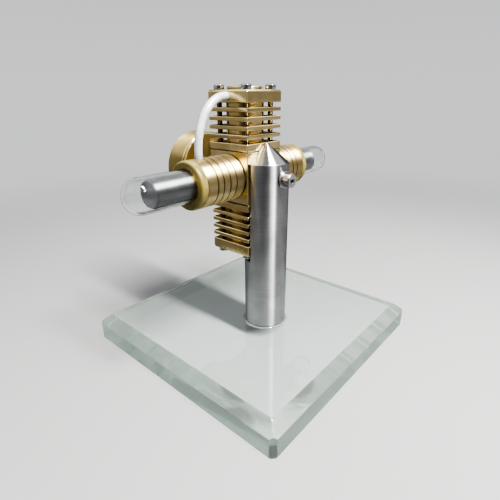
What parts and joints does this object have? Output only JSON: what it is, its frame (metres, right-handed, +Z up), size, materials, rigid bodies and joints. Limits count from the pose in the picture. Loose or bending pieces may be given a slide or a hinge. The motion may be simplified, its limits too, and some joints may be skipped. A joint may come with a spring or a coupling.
{
  "type": "miniature hot air engine",
  "caption": "Small hot-air engine with a cross of finned and glass-capped cylinders around a square crankcase, a brass flywheel, a post and a bevelled glass base.",
  "frame": {"origin": "centre of the base plate's underside, on the table", "axes": "+Z up, +Y along the crank axis towards the flywheel, +X along the right displacer cylinder"},
  "size_m": [0.114, 0.104, 0.1106],
  "materials": {
    "base_glass": "clear plate glass, polished bevels, faint green edge",
    "clear_glue": "clear cured adhesive",
    "turned_aluminium": "satin, fine turning marks",
    "engine_brass": "milled and turned, fine tool marks",
    "flywheel_brass": "turned and polished",
    "yoke_brass": "milled",
    "screw_steel": "stainless",
    "bright_steel": "ground bright",
    "bearing_steel": "ground",
    "black_steel": "black oxide",
    "displacer_steel": "thin drawn can, smoky from heat",
    "piston_graphite": "machined graphite",
    "bush_bronze": "bearing bronze",
    "gasket_fibre": "thin fibre sheet",
    "amber_seal": "translucent amber",
    "tube_glass": "clear borosilicate",
    "silicone_tube": "milky translucent"
  },
  "bodies": {
    "frame": {"base_plate": "base_glass", "glue_bead": "clear_glue", "post": "turned_aluminium", "mounting_screw": "screw_steel", "mounting_washer": "screw_steel", "crankcase": "engine_brass", "cylinder_gaskets": "gasket_fibre", "collar_gaskets": "gasket_fibre", "upper_power_cylinder": "engine_brass", "lower_power_cylinder": "engine_brass", "upper_head_plug": "engine_brass", "lower_head_plug": "engine_brass", "upper_head_screws": "screw_steel", "lower_head_screws": "screw_steel", "left_displacer_cylinder": "engine_brass", "right_displacer_cylinder": "engine_brass", "left_seal_ring": "amber_seal", "right_seal_ring": "amber_seal", "left_hot_cap": "tube_glass", "right_hot_cap": "tube_glass", "rod_gland_bushes": "bush_bronze", "upper_transfer_tube": "silicone_tube", "lower_transfer_tube": "silicone_tube", "hose_nipples": "bright_steel", "bearing_housing": "engine_brass", "housing_screws": "screw_steel", "bearing_outer_rings": "bearing_steel"},
    "crank": {"crankshaft": "bright_steel", "bearing_inner_rings": "bearing_steel", "bearing_spacer": "turned_aluminium", "flywheel_spacer": "turned_aluminium", "flywheel": "flywheel_brass", "flywheel_set_screw": "black_steel"},
    "bearing_cages": {"bearing_balls": "bearing_steel", "bearing_cages": "bush_bronze"},
    "link": {"link_bush": "bush_bronze", "link_crank_web": "bright_steel", "link_yoke_web": "bright_steel", "displacer_pin": "bright_steel", "piston_pin": "bright_steel", "link_retainer": "bright_steel"},
    "displacers": {"displacer_yoke": "yoke_brass", "displacer_rods": "bright_steel", "left_displacer": "displacer_steel", "right_displacer": "displacer_steel", "displacer_plugs": "turned_aluminium"},
    "pistons": {"piston_yoke": "yoke_brass", "piston_rods": "bright_steel", "upper_piston": "piston_graphite", "lower_piston": "piston_graphite"}
  },
  "joints": [
    {"name": "crank_spin", "type": "hinge", "parent": "frame", "child": "crank", "pos_m": [-0.0028, 0.0027, 0.0765], "axis": [0, -1, 0], "continuous": true},
    {"name": "cage_spin", "type": "hinge", "parent": "frame", "child": "bearing_cages", "pos_m": [-0.0028, 0.0127, 0.0765], "axis": [0, -1, 0], "continuous": true},
    {"name": "link_spin", "type": "hinge", "parent": "crank", "child": "link", "pos_m": [-0.00372, 0.0067, 0.07827], "axis": [0, -1, 0], "continuous": true},
    {"name": "displacer_pivot", "type": "hinge", "parent": "link", "child": "displacers", "pos_m": [-0.00465, 0.0048, 0.0765], "axis": [0, -1, 0], "continuous": true},
    {"name": "piston_pivot", "type": "hinge", "parent": "link", "child": "pistons", "pos_m": [-0.0028, 0.0011, 0.08005], "axis": [0, -1, 0], "continuous": true}
  ],
  "couplings": [
    {"joint": "cage_spin", "follows": "crank_spin", "ratio": 0.42},
    {"joint": "link_spin", "follows": "crank_spin", "ratio": -2},
    {"joint": "displacer_pivot", "follows": "crank_spin", "ratio": 1},
    {"joint": "piston_pivot", "follows": "crank_spin", "ratio": 1}
  ]
}
